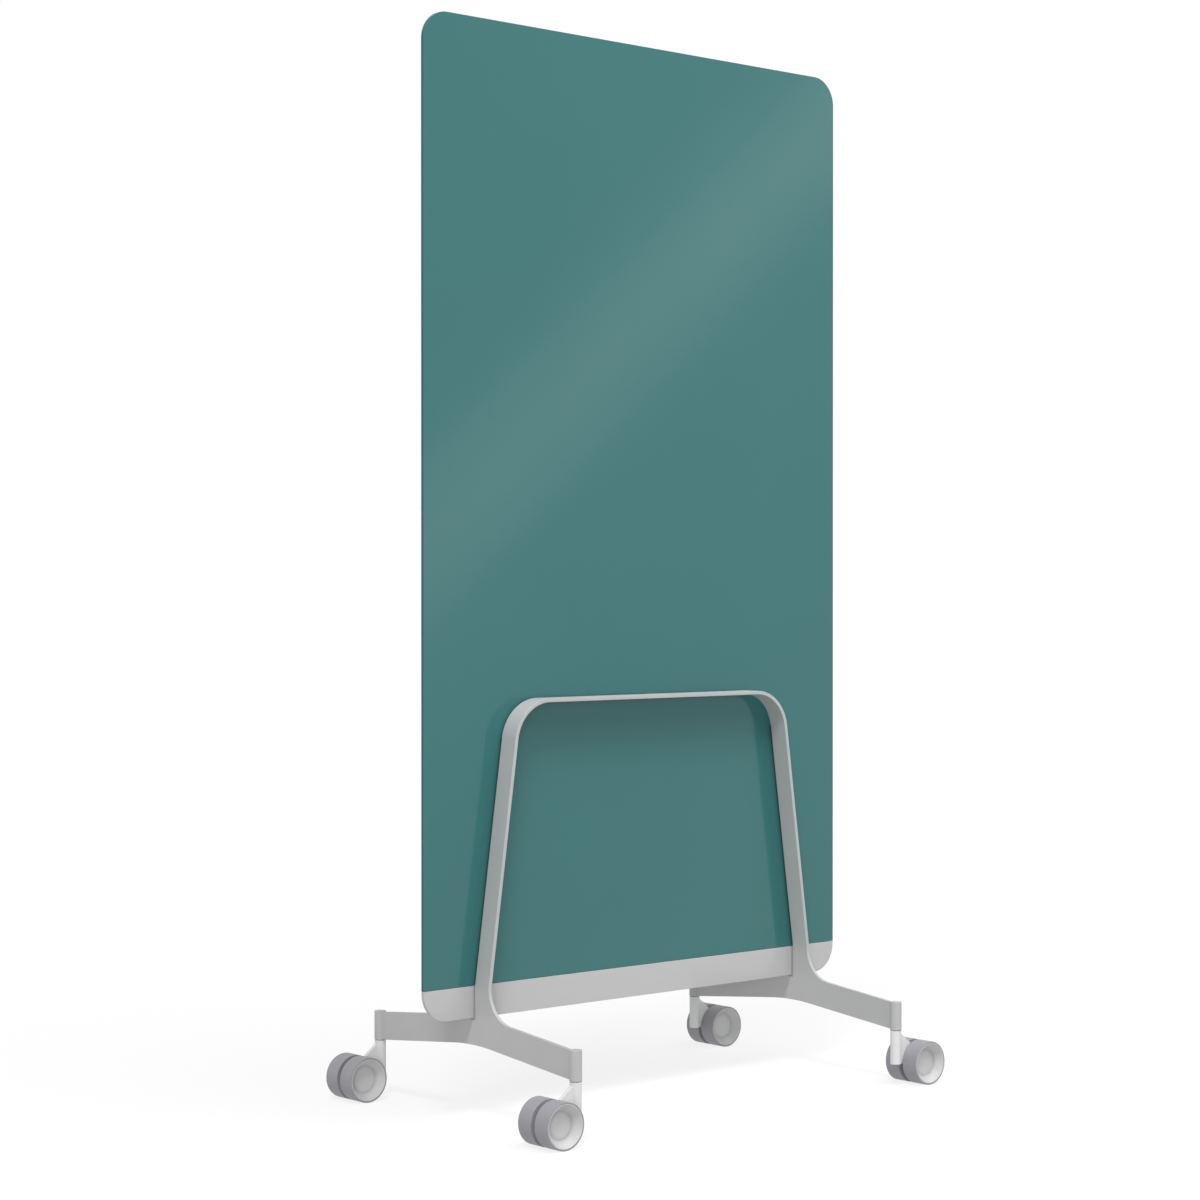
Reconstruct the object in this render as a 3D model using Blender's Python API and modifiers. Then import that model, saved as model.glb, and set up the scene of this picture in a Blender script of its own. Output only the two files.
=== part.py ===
"""Mobile glass whiteboard: a laminated glass panel on a bent-bar frame with four twin-wheel casters.

Metres, +Z up. The origin is on the floor under the middle of the panel, +X runs along the panel's
width and -Y is the front, the side that the hoop stands on.
"""
import math

import bmesh
import bpy
from mathutils import Matrix, Vector

# Clearances and shared values
GAP = 0.0003
CUT_OVERRUN = 0.002
MERGE_DISTANCE = 0.00005

# Panel
PANEL_WIDTH = 0.9144
PANEL_HEIGHT = 1.5816
PANEL_BOTTOM = 0.1600
CORNER_RADIUS = 0.0470
GLASS_THICKNESS = 0.0027
STEEL_THICKNESS = 0.0004
STEEL_INSET = 0.0010
RAIL_HEIGHT = 0.0510
ARRIS = 0.0004

# Frame bars and plates
PANEL_OVERHANG = 0.1017
BAR_THICKNESS = 0.0060
HOOP_DEPTH = 0.0347
HOOP_STANDOFF = 0.00385
HOOP_RISE = 0.4517
HOOP_BEND_RADIUS = 0.0720
HOOP_LEAN = math.radians(8.0)
BAR_EDGE = 0.0006

# Arms of the side plates
RAIL_LAP = 0.0059
ARM_HEIGHT = 0.0459
ARM_FALL = math.radians(6.0)
ARM_FILLET = 0.0540
UNDERSIDE_RADIUS = 0.4700

# Seat that the panel's rail stands in, and the tape behind the hoop
SEAT_BASE = 0.0020
SEAT_SIDE_INSET = 0.0003
TAPE_INSET = 0.0005
TAPE_END_INSET = 0.0040

# Screws through the rail into the side plates
SCREW_RADIUS = 0.0015
SCREW_HEAD_RADIUS = 0.0029
SCREW_HEAD_HEIGHT = 0.0016
SCREW_LENGTH = 0.0220
SCREW_SOCKET_RADIUS = 0.0012
SCREW_SOCKET_DEPTH = 0.0010
SCREW_MARGIN = 0.0155

# Caster sleeves at the arms' ends
CASTER_Y = 0.2480
SLEEVE_RADIUS = 0.00975
SLEEVE_RISE = 0.0019
SLEEVE_CUTBACK = 0.0006
SLEEVE_WALL = 0.0018
SLEEVE_CROWN = 0.0040
SLEEVE_EDGE = 0.0004
BUSH_WALL = 0.0019

# Stem, thrust washer and yoke
STEM_CHAMFER = 0.0010
PINTLE_RADIUS = 0.0042
PINTLE_LENGTH = 0.0400
PINTLE_TIP_CHAMFER = 0.0008
WASHER_THICKNESS = 0.0004
WASHER_INSET = 0.0012
YOKE_RADIUS = 0.00925
YOKE_EDGE = 0.0005
WEB_THICKNESS = 0.0065
WEB_DROP = 0.0023
WEB_FOOT_RISE = 0.0044
BOSS_RADIUS = 0.0157

# Wheels
WHEEL_CLEARANCE = 0.00275
WHEEL_RADIUS = 0.0365
WHEEL_WIDTH = 0.0302
WHEEL_SPACING = 0.0084
TYRE_THICKNESS = 0.0022
TREAD_ROUND = 0.0016
TYRE_FACE_INSET = 0.0002
BOWL_RIM = 0.0005
BOWL_DEPTH = 0.0128
DISC_RADIUS = 0.0224
HUB_RIM_WALL = 0.0030
HUB_WEB = 0.0060
HUB_BOSS_RADIUS = 0.0085
HUB_END_WALL = 0.0028
AXLE_RADIUS = 0.0040
AXLE_CHAMFER = 0.0005

# Angles that tell edges apart, and the facets of round pieces and arcs
FLAT_ANGLE = math.radians(0.5)
SMOOTH_ANGLE = math.radians(30.0)
EDGE_ANGLE = math.radians(40.0)
TYRE_SIDES = 28
HUB_SIDES = 20
TUBE_SIDES = 20
PIN_SIDES = 16
CORNER_STEPS = 7
BEND_STEPS = 9
FILLET_STEPS = 8
UNDERSIDE_STEPS = 6
BOWL_STEPS = 4
ROUND_STEPS = 2
BOSS_STEPS = 10
HEX_SIDES = 6

# Places worked out from the sizes above
PLATE_X = PANEL_WIDTH / 2 - PANEL_OVERHANG
PANEL_HALF = GLASS_THICKNESS + GAP + STEEL_THICKNESS / 2
PANEL_TOP = PANEL_BOTTOM + PANEL_HEIGHT
RAIL_TOP = PANEL_BOTTOM + RAIL_HEIGHT
WELD_HEIGHT = RAIL_TOP + GAP
HOOP_TOP = WELD_HEIGHT + HOOP_RISE
SCREW_LOWER_HEIGHT = PANEL_BOTTOM + SCREW_MARGIN
SCREW_UPPER_HEIGHT = RAIL_TOP - SCREW_MARGIN
HOOP_REAR = -(PANEL_HALF + HOOP_STANDOFF)
HOOP_FRONT = HOOP_REAR - HOOP_DEPTH
NOTCH_FLOOR = PANEL_BOTTOM - GAP - SEAT_BASE - GAP
ARM_PEAK = PANEL_BOTTOM + RAIL_LAP
ARM_DROP = CASTER_Y * math.tan(ARM_FALL)
SLEEVE_TOP = ARM_PEAK - ARM_DROP + SLEEVE_RISE
SLEEVE_BOTTOM = ARM_PEAK - ARM_DROP - ARM_HEIGHT + SLEEVE_CUTBACK
BUSH_RADIUS = SLEEVE_RADIUS - SLEEVE_WALL - GAP
BUSH_TOP = SLEEVE_TOP - SLEEVE_CROWN - GAP
STEM_RADIUS = BUSH_RADIUS - BUSH_WALL - GAP
YOKE_TOP = SLEEVE_BOTTOM - WASHER_THICKNESS - 2 * GAP
YOKE_BOTTOM = WHEEL_RADIUS
WEB_TOP = YOKE_TOP - WEB_DROP
WEB_FOOT = YOKE_BOTTOM + WEB_FOOT_RISE
TRAIL = WHEEL_RADIUS + YOKE_RADIUS + WHEEL_CLEARANCE
HUB_RADIUS = WHEEL_RADIUS - TYRE_THICKNESS - GAP
WHEEL_FACE = WHEEL_SPACING / 2 + WHEEL_WIDTH
AXLE_HALF = WHEEL_FACE - BOWL_DEPTH - HUB_END_WALL - GAP

COLLECTION_NAME = "mobile_glass_whiteboard"
CUTTER_COLLECTION_NAME = "cutters"


def clear_scene():
    for thing in list(bpy.data.objects):
        bpy.data.objects.remove(thing, do_unlink=True)


def new_collection(name):
    collection = bpy.data.collections.new(name)
    bpy.context.scene.collection.children.link(collection)
    return collection


def material(name, colour, roughness, metallic=0.0):
    made = bpy.data.materials.new(name)
    made.use_nodes = True
    shader = made.node_tree.nodes["Principled BSDF"]
    shader.inputs["Base Color"].default_value = (*colour, 1.0)
    shader.inputs["Roughness"].default_value = roughness
    shader.inputs["Metallic"].default_value = metallic
    made.diffuse_color = (*colour, 1.0)
    return made


def painted_glass():
    return material("painted_glass", (0.075, 0.209, 0.209), 0.08)


def sheet_steel():
    return material("sheet_steel", (0.45, 0.46, 0.47), 0.45, 0.9)


def rail_silver():
    return material("rail_silver", (0.52, 0.52, 0.52), 0.38, 0.3)


def frame_paint():
    return material("frame_paint", (0.55, 0.55, 0.56), 0.42, 0.2)


def clear_tape():
    return material("clear_tape", (0.10, 0.20, 0.20), 0.5)


def grey_nylon():
    return material("grey_nylon", (0.42, 0.42, 0.43), 0.5)


def bright_steel():
    return material("bright_steel", (0.60, 0.60, 0.61), 0.25, 0.95)


def caster_white():
    return material("caster_white", (0.78, 0.78, 0.78), 0.35)


def hub_white():
    return material("hub_white", (0.74, 0.74, 0.75), 0.35)


def tyre_grey():
    return material("tyre_grey", (0.31, 0.30, 0.33), 0.55)


def add_object(name, mesh, collection, finish=None):
    made = bpy.data.objects.new(name, mesh)
    collection.objects.link(made)
    if finish is not None:
        mesh.materials.clear()
        mesh.materials.append(finish)
    return made


def smooth_round(mesh):
    mesh.shade_smooth()
    mesh.set_sharp_from_angle(angle=SMOOTH_ANGLE)


def arc(centre, radius, start, end, steps):
    """Points on an arc from one angle to another, both ends included."""
    points = []
    for step in range(steps + 1):
        angle = start + (end - start) * step / steps
        points.append((centre[0] + radius * math.cos(angle), centre[1] + radius * math.sin(angle)))
    return points


def outline_mesh(name, points, thickness):
    """A flat plate with the given outline in XY, as thick as asked, centred on the outline's plane."""
    curve = bpy.data.curves.new(name, "CURVE")
    curve.dimensions = "2D"
    curve.fill_mode = "BOTH"
    curve.extrude = thickness / 2
    spline = curve.splines.new("POLY")
    spline.points.add(len(points) - 1)
    for point, place in zip(spline.points, points):
        point.co = (place[0], place[1], 0.0, 1.0)
    spline.use_cyclic_u = True
    holder = bpy.data.objects.new(name, curve)
    bpy.context.scene.collection.objects.link(holder)
    bpy.context.view_layer.update()
    evaluated = holder.evaluated_get(bpy.context.evaluated_depsgraph_get())
    mesh = bpy.data.meshes.new_from_object(evaluated)
    mesh.name = name
    bpy.data.objects.remove(holder, do_unlink=True)
    shape = bmesh.new()
    shape.from_mesh(mesh)
    bmesh.ops.remove_doubles(shape, verts=shape.verts, dist=MERGE_DISTANCE)
    bmesh.ops.dissolve_limit(shape, angle_limit=FLAT_ANGLE, verts=shape.verts, edges=shape.edges)
    bmesh.ops.recalc_face_normals(shape, faces=shape.faces)
    shape.to_mesh(mesh)
    shape.free()
    return mesh


def upright(points, thickness, name):
    """A plate whose outline is given in X and Z."""
    mesh = outline_mesh(name, points, thickness)
    mesh.transform(Matrix.Rotation(math.pi / 2, 4, "X"))
    return mesh


def sideways(points, thickness, name):
    """A plate whose outline is given in Y and Z."""
    mesh = outline_mesh(name, points, thickness)
    mesh.transform(Matrix.Rotation(math.pi / 2, 4, "Z") @ Matrix.Rotation(math.pi / 2, 4, "X"))
    return mesh


def round_edges(thing, width):
    bevel = thing.modifiers.new("edges", "BEVEL")
    bevel.width = width
    bevel.segments = 1
    bevel.limit_method = "ANGLE"
    bevel.angle_limit = EDGE_ANGLE


def turn(thing, sides):
    screw = thing.modifiers.new("turned", "SCREW")
    screw.axis = "Z"
    screw.angle = math.tau
    screw.steps = sides
    screw.render_steps = sides
    screw.use_merge_vertices = True
    screw.merge_threshold = MERGE_DISTANCE
    screw.use_smooth_shade = True


def turned(name, profile, sides, collection, finish=None, ring=False):
    """A round piece about its own Z axis, from a profile of (radius, height) points."""
    mesh = bpy.data.meshes.new(name)
    edges = [(index, index + 1) for index in range(len(profile) - 1)]
    if ring:
        edges.append((len(profile) - 1, 0))
    mesh.from_pydata([(radius, 0.0, height) for radius, height in profile], edges, [])
    made = add_object(name, mesh, collection, finish)
    turn(made, sides)
    return made


def baked(thing):
    """The object with its modifiers applied to its mesh."""
    bpy.context.view_layer.update()
    evaluated = thing.evaluated_get(bpy.context.evaluated_depsgraph_get())
    mesh = bpy.data.meshes.new_from_object(evaluated)
    mesh.name = thing.name
    thing.modifiers.clear()
    thing.data = mesh
    return thing


def boolean(thing, other, operation):
    cut = thing.modifiers.new(operation.lower(), "BOOLEAN")
    cut.operation = operation
    cut.object = other
    cut.solver = "EXACT"


def as_cutter(thing):
    thing.hide_render = True
    thing.display_type = "WIRE"
    return thing


def cylinder_cutter(name, radius, length, sides, cutters):
    """A cutter about its own Z axis, from its origin up."""
    mesh = bpy.data.meshes.new(name)
    shape = bmesh.new()
    bmesh.ops.create_cone(shape, cap_ends=True, segments=sides, radius1=radius, radius2=radius,
                          depth=length)
    bmesh.ops.translate(shape, verts=shape.verts, vec=Vector((0.0, 0.0, length / 2)))
    shape.to_mesh(mesh)
    shape.free()
    return as_cutter(add_object(name, mesh, cutters))


def block(name, size, collection, finish):
    mesh = bpy.data.meshes.new(name)
    shape = bmesh.new()
    bmesh.ops.create_cube(shape, size=1.0)
    bmesh.ops.scale(shape, verts=shape.verts, vec=Vector(size))
    shape.to_mesh(mesh)
    shape.free()
    return add_object(name, mesh, collection, finish)


def panel_outline(inset, low, high, round_low, round_high):
    """A rectangle as wide as the panel less an inset, with its lower or upper corners rounded."""
    half = PANEL_WIDTH / 2 - inset
    radius = CORNER_RADIUS - inset
    points = []
    if round_low:
        points += arc((half - radius, low + radius), radius, -math.pi / 2, 0.0, CORNER_STEPS)
    else:
        points.append((half, low))
    if round_high:
        points += arc((half - radius, high - radius), radius, 0.0, math.pi / 2, CORNER_STEPS)
        points += arc((radius - half, high - radius), radius, math.pi / 2, math.pi, CORNER_STEPS)
    else:
        points += [(half, high), (-half, high)]
    if round_low:
        points += arc((radius - half, low + radius), radius, math.pi, 1.5 * math.pi, CORNER_STEPS)
    else:
        points.append((-half, low))
    return points


def make_glass(name, side, collection, finish):
    """One sheet of painted glass, on the front (-1) or the rear (1) of the steel."""
    points = panel_outline(0.0, RAIL_TOP + GAP, PANEL_TOP, False, True)
    sheet = add_object(name, upright(points, GLASS_THICKNESS, name), collection, finish)
    sheet.location.y = side * (PANEL_HALF - GLASS_THICKNESS / 2)
    round_edges(sheet, ARRIS)
    return sheet


def make_rail(name, side, collection, finish):
    """One plate of the bottom rail, flush with the glass above it."""
    points = panel_outline(0.0, PANEL_BOTTOM, RAIL_TOP, True, False)
    plate = add_object(name, upright(points, GLASS_THICKNESS, name), collection, finish)
    plate.location.y = side * (PANEL_HALF - GLASS_THICKNESS / 2)
    round_edges(plate, ARRIS)
    return plate


def make_steel_sheet(collection, finish):
    low, high = PANEL_BOTTOM + STEEL_INSET, PANEL_TOP - STEEL_INSET
    points = panel_outline(STEEL_INSET, low, high, True, True)
    mesh = upright(points, STEEL_THICKNESS, "magnetic_steel_sheet")
    return add_object("magnetic_steel_sheet", mesh, collection, finish)


def hoop_bend_centre():
    """Middle of the right-hand bend, in X and Z."""
    height = HOOP_TOP - HOOP_BEND_RADIUS
    outer_foot = PLATE_X + BAR_THICKNESS / 2
    rise = height - WELD_HEIGHT
    across = (HOOP_BEND_RADIUS + rise * math.sin(HOOP_LEAN)) / math.cos(HOOP_LEAN)
    return outer_foot - across, height


def hoop_side(offset):
    """Right half of the hoop's edge, from its foot to the end of its bend, set in by an offset."""
    centre = hoop_bend_centre()
    foot = PLATE_X + BAR_THICKNESS / 2 - offset / math.cos(HOOP_LEAN) - GAP * math.tan(HOOP_LEAN)
    bend = arc(centre, HOOP_BEND_RADIUS - offset, HOOP_LEAN, math.pi / 2, BEND_STEPS)
    return [(foot, WELD_HEIGHT + GAP)] + bend


def make_hoop(collection, finish):
    """The bent flat bar: two leaning legs and a level top."""
    outer, inner = hoop_side(0.0), hoop_side(BAR_THICKNESS)
    points = outer + [(-x, z) for x, z in reversed(outer)]
    points += [(-x, z) for x, z in inner] + list(reversed(inner))
    hoop = add_object("hoop_band", upright(points, HOOP_DEPTH, "hoop_band"), collection, finish)
    hoop.location.y = (HOOP_FRONT + HOOP_REAR) / 2
    round_edges(hoop, BAR_EDGE)
    return hoop


def arm_top(distance):
    return ARM_PEAK - distance * math.tan(ARM_FALL)


def arm_underside(distance):
    return ARM_PEAK - ARM_HEIGHT - distance * math.tan(ARM_FALL)


def leg_fillet():
    """Arc from the leg's front edge down to the front arm's top edge."""
    corner = arm_top(-HOOP_FRONT)
    reach = ARM_FILLET / math.tan((math.pi / 2 + ARM_FALL) / 2)
    centre = (HOOP_FRONT - ARM_FILLET, corner + reach)
    return arc(centre, ARM_FILLET, 0.0, ARM_FALL - math.pi / 2, FILLET_STEPS)


def underside_arch():
    """Shallow arc where the two arms' undersides meet, from the rear to the front."""
    centre = (0.0, arm_underside(0.0) - UNDERSIDE_RADIUS / math.cos(ARM_FALL))
    rear, front = math.pi / 2 - ARM_FALL, math.pi / 2 + ARM_FALL
    return arc(centre, UNDERSIDE_RADIUS, rear, front, UNDERSIDE_STEPS)


def side_plate_outline():
    """Leg, front arm and rear arm in Y and Z; the panel's edge stands in the notch between them."""
    points = [(-HOOP_REAR, arm_top(-HOOP_REAR)), (-HOOP_REAR, NOTCH_FLOOR), (HOOP_REAR, NOTCH_FLOOR)]
    points += [(HOOP_REAR, WELD_HEIGHT), (HOOP_FRONT, WELD_HEIGHT)]
    points += leg_fillet()
    points += [(-CASTER_Y, arm_top(CASTER_Y)), (-CASTER_Y, arm_underside(CASTER_Y))]
    points += list(reversed(underside_arch()))
    points += [(CASTER_Y, arm_underside(CASTER_Y)), (CASTER_Y, arm_top(CASTER_Y))]
    return points


def make_side_plate(name, side, collection, cutters, finish):
    """One side plate, its arms' ends coped to the caster sleeves."""
    plate = add_object(name, sideways(side_plate_outline(), BAR_THICKNESS, name), collection, finish)
    plate.location.x = side * PLATE_X
    round_edges(plate, BAR_EDGE)
    for end in (-1, 1):
        length = SLEEVE_TOP - SLEEVE_BOTTOM + 2 * ARM_HEIGHT
        cope = cylinder_cutter(f"cope_{name}_{end}", SLEEVE_RADIUS + GAP, length, TUBE_SIDES, cutters)
        cope.location = (side * PLATE_X, end * CASTER_Y, SLEEVE_BOTTOM - ARM_HEIGHT)
        boolean(plate, cope, "DIFFERENCE")
    return plate


def make_panel_seat(name, side, collection, finish):
    """Moulded J-shaped seat between the panel's rail and the side plate's notch."""
    inner, outer = PANEL_HALF + GAP, -HOOP_REAR - GAP
    low, floor = NOTCH_FLOOR + GAP, PANEL_BOTTOM - GAP
    rear_top = arm_top(outer)
    points = [(-outer, low), (outer, low), (outer, rear_top), (inner, rear_top), (inner, floor)]
    points += [(-inner, floor), (-inner, WELD_HEIGHT), (-outer, WELD_HEIGHT)]
    width = BAR_THICKNESS - 2 * SEAT_SIDE_INSET
    seat = add_object(name, sideways(points, width, name), collection, finish)
    seat.location.x = side * PLATE_X
    return seat


def make_bond_strips(collection, finish):
    """Clear tape between the hoop's rear edge and the glass: one strip on each leg, one on the top."""
    thickness = HOOP_STANDOFF - 2 * GAP
    width = BAR_THICKNESS - 2 * TAPE_INSET
    middle = -(PANEL_HALF + HOOP_STANDOFF / 2)
    centre = hoop_bend_centre()
    mid_radius = HOOP_BEND_RADIUS - BAR_THICKNESS / 2
    upper = Vector((centre[0] + mid_radius * math.cos(HOOP_LEAN), middle,
                    centre[1] + mid_radius * math.sin(HOOP_LEAN)))
    along = Vector((math.sin(HOOP_LEAN), 0.0, -math.cos(HOOP_LEAN)))
    length = (upper.z - WELD_HEIGHT) / math.cos(HOOP_LEAN) - TAPE_END_INSET
    for side, name in ((-1, "bond_strip_left"), (1, "bond_strip_right")):
        strip = block(name, (width, thickness, length), collection, finish)
        place = upper + along * length / 2
        strip.location = (side * place.x, place.y, place.z)
        strip.rotation_euler.y = -side * HOOP_LEAN
    top = block("bond_strip_top", (2 * centre[0], thickness, width), collection, finish)
    top.location = (0.0, middle, HOOP_TOP - BAR_THICKNESS / 2)


def screw_profile(clearance, overrun):
    """Countersunk screw: head face at height zero, shank downwards."""
    head, shank = SCREW_HEAD_RADIUS + clearance, SCREW_RADIUS + clearance
    tip = -SCREW_LENGTH - clearance
    points = [(0.0, overrun), (head, overrun)] if overrun else [(0.0, 0.0)]
    return points + [(head, 0.0), (shank, -SCREW_HEAD_HEIGHT), (shank, tip), (0.0, tip)]


def make_screws(targets, collection, cutters, finish):
    """Four screws from the rear of the rail into the side plates, and the holes that they need."""
    first = turned("screw_pattern", screw_profile(0.0, 0.0), PIN_SIDES, cutters)
    depth = SCREW_SOCKET_DEPTH + CUT_OVERRUN
    socket = cylinder_cutter("screw_socket", SCREW_SOCKET_RADIUS, depth, HEX_SIDES, cutters)
    socket.location.z = -SCREW_SOCKET_DEPTH
    boolean(first, socket, "DIFFERENCE")
    mesh = baked(first).data
    smooth_round(mesh)
    mesh.materials.append(finish)
    bpy.data.objects.remove(first, do_unlink=True)
    turn_to_rear = (-math.pi / 2, 0.0, 0.0)
    for side, side_name in ((-1, "left"), (1, "right")):
        for height, height_name in ((SCREW_LOWER_HEIGHT, "lower"), (SCREW_UPPER_HEIGHT, "upper")):
            place = (side * PLATE_X, PANEL_HALF, height)
            screw = bpy.data.objects.new(f"rail_screw_{side_name}_{height_name}", mesh)
            collection.objects.link(screw)
            hole_name = f"hole_{side_name}_{height_name}"
            hole = turned(hole_name, screw_profile(GAP, CUT_OVERRUN), PIN_SIDES, cutters)
            as_cutter(hole)
            for thing in (screw, hole):
                thing.location = place
                thing.rotation_euler = turn_to_rear
            for target in targets[side_name]:
                boolean(target, hole, "DIFFERENCE")


def make_sleeve(name, collection, finish):
    """Closed-top tube that the caster's stem goes up into."""
    bore, crown = SLEEVE_RADIUS - SLEEVE_WALL, SLEEVE_TOP - SLEEVE_CROWN
    profile = [(0.0, SLEEVE_TOP), (SLEEVE_RADIUS - SLEEVE_EDGE, SLEEVE_TOP)]
    profile += [(SLEEVE_RADIUS, SLEEVE_TOP - SLEEVE_EDGE), (SLEEVE_RADIUS, SLEEVE_BOTTOM)]
    profile += [(bore, SLEEVE_BOTTOM), (bore, crown), (0.0, crown)]
    return turned(name, profile, TUBE_SIDES, collection, finish)


def make_bush(name, collection, finish):
    inner = BUSH_RADIUS - BUSH_WALL
    profile = [(inner, BUSH_TOP), (BUSH_RADIUS, BUSH_TOP)]
    profile += [(BUSH_RADIUS, SLEEVE_BOTTOM), (inner, SLEEVE_BOTTOM)]
    return turned(name, profile, TUBE_SIDES, collection, finish, ring=True)


def make_stem(name, collection, finish):
    """Steel stem: thick in the bush, with a thinner pintle that the yoke turns on."""
    top, tip = BUSH_TOP - GAP, SLEEVE_BOTTOM - PINTLE_LENGTH
    profile = [(0.0, top), (STEM_RADIUS - STEM_CHAMFER, top), (STEM_RADIUS, top - STEM_CHAMFER)]
    profile += [(STEM_RADIUS, SLEEVE_BOTTOM), (PINTLE_RADIUS, SLEEVE_BOTTOM)]
    profile += [(PINTLE_RADIUS, tip + PINTLE_TIP_CHAMFER), (PINTLE_RADIUS - PINTLE_TIP_CHAMFER, tip)]
    profile += [(0.0, tip)]
    return turned(name, profile, PIN_SIDES, collection, finish)


def make_washer(name, collection, finish):
    inner, outer = PINTLE_RADIUS + GAP, SLEEVE_RADIUS - WASHER_INSET
    top, bottom = SLEEVE_BOTTOM - GAP, SLEEVE_BOTTOM - GAP - WASHER_THICKNESS
    profile = [(inner, top), (outer, top), (outer, bottom), (inner, bottom)]
    return turned(name, profile, TUBE_SIDES, collection, finish, ring=True)


def tangent_angle(height, below):
    """Direction from the boss's middle to where a line from the housing's axis touches the boss."""
    drop = height - WHEEL_RADIUS
    swing = math.acos(BOSS_RADIUS / math.hypot(TRAIL, drop))
    toward = math.atan2(drop, TRAIL)
    return toward - swing if below else toward + swing


def web_outline():
    """The web in X and Z, from the housing's axis to the boss round the axle."""
    upper, lower = tangent_angle(WEB_TOP, False), tangent_angle(WEB_FOOT, True)
    boss = arc((-TRAIL, WHEEL_RADIUS), BOSS_RADIUS, upper, lower + math.tau, BOSS_STEPS)
    return [(0.0, WEB_FOOT), (0.0, WEB_TOP)] + boss


def make_yoke_mesh(cutters, finish):
    """Upright housing and web in one casting, trailing towards -X, bored for pintle and axle."""
    profile = [(0.0, YOKE_TOP), (YOKE_RADIUS - YOKE_EDGE, YOKE_TOP), (YOKE_RADIUS, YOKE_TOP - YOKE_EDGE)]
    profile += [(YOKE_RADIUS, YOKE_BOTTOM + YOKE_EDGE), (YOKE_RADIUS - YOKE_EDGE, YOKE_BOTTOM)]
    profile += [(0.0, YOKE_BOTTOM)]
    housing = turned("yoke_pattern", profile, TUBE_SIDES, cutters)
    web = add_object("yoke_web", upright(web_outline(), WEB_THICKNESS, "yoke_web"), cutters)
    as_cutter(web)
    boolean(housing, web, "UNION")
    depth = PINTLE_LENGTH + GAP + CUT_OVERRUN
    bore = cylinder_cutter("pintle_bore", PINTLE_RADIUS + GAP, depth, PIN_SIDES, cutters)
    bore.location.z = SLEEVE_BOTTOM - PINTLE_LENGTH - GAP
    boolean(housing, bore, "DIFFERENCE")
    axle_depth = WEB_THICKNESS + 2 * CUT_OVERRUN
    axle_bore = cylinder_cutter("axle_bore", AXLE_RADIUS + GAP, axle_depth, PIN_SIDES, cutters)
    axle_bore.location = (-TRAIL, axle_depth / 2, WHEEL_RADIUS)
    axle_bore.rotation_euler.x = math.pi / 2
    boolean(housing, axle_bore, "DIFFERENCE")
    mesh = baked(housing).data
    bpy.data.objects.remove(housing, do_unlink=True)
    smooth_round(mesh)
    mesh.materials.clear()
    mesh.materials.append(finish)
    return mesh


def make_axle(name, collection, finish):
    edge = AXLE_RADIUS - AXLE_CHAMFER
    profile = [(0.0, AXLE_HALF), (edge, AXLE_HALF), (AXLE_RADIUS, AXLE_HALF - AXLE_CHAMFER)]
    profile += [(radius, -height) for radius, height in reversed(profile)]
    return turned(name, profile, PIN_SIDES, collection, finish)


def hub_profile():
    """Hub from its disc out over the bowl and rim and back to its blind bore; outboard is up."""
    rim = HUB_RADIUS - BOWL_RIM
    disc = WHEEL_FACE - BOWL_DEPTH
    profile = [(0.0, disc)]
    for step in range(BOWL_STEPS + 1):
        angle = math.pi / 2 * (1 - step / BOWL_STEPS)
        radius = DISC_RADIUS + (rim - DISC_RADIUS) * math.cos(angle)
        profile.append((radius, WHEEL_FACE - BOWL_DEPTH * math.sin(angle)))
    inboard, back = WHEEL_SPACING / 2, disc - HUB_WEB
    boss_end, bore = WEB_THICKNESS / 2 + GAP, AXLE_RADIUS + GAP
    profile += [(HUB_RADIUS, WHEEL_FACE), (HUB_RADIUS, inboard), (HUB_RADIUS - HUB_RIM_WALL, inboard)]
    profile += [(HUB_RADIUS - HUB_RIM_WALL, back), (HUB_BOSS_RADIUS, back), (HUB_BOSS_RADIUS, boss_end)]
    profile += [(bore, boss_end), (bore, disc - HUB_END_WALL), (0.0, disc - HUB_END_WALL)]
    return profile


def tyre_profile():
    """Thin tyre with rounded shoulders, a closed ring section."""
    inner, high = WHEEL_RADIUS - TYRE_THICKNESS, WHEEL_FACE - TYRE_FACE_INSET
    low = WHEEL_SPACING / 2 + TYRE_FACE_INSET
    shoulder = WHEEL_RADIUS - TREAD_ROUND
    profile = [(inner, high)]
    profile += arc((shoulder, high - TREAD_ROUND), TREAD_ROUND, math.pi / 2, 0.0, ROUND_STEPS)
    profile += arc((shoulder, low + TREAD_ROUND), TREAD_ROUND, 0.0, -math.pi / 2, ROUND_STEPS)
    return profile + [(inner, low)]


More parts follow.
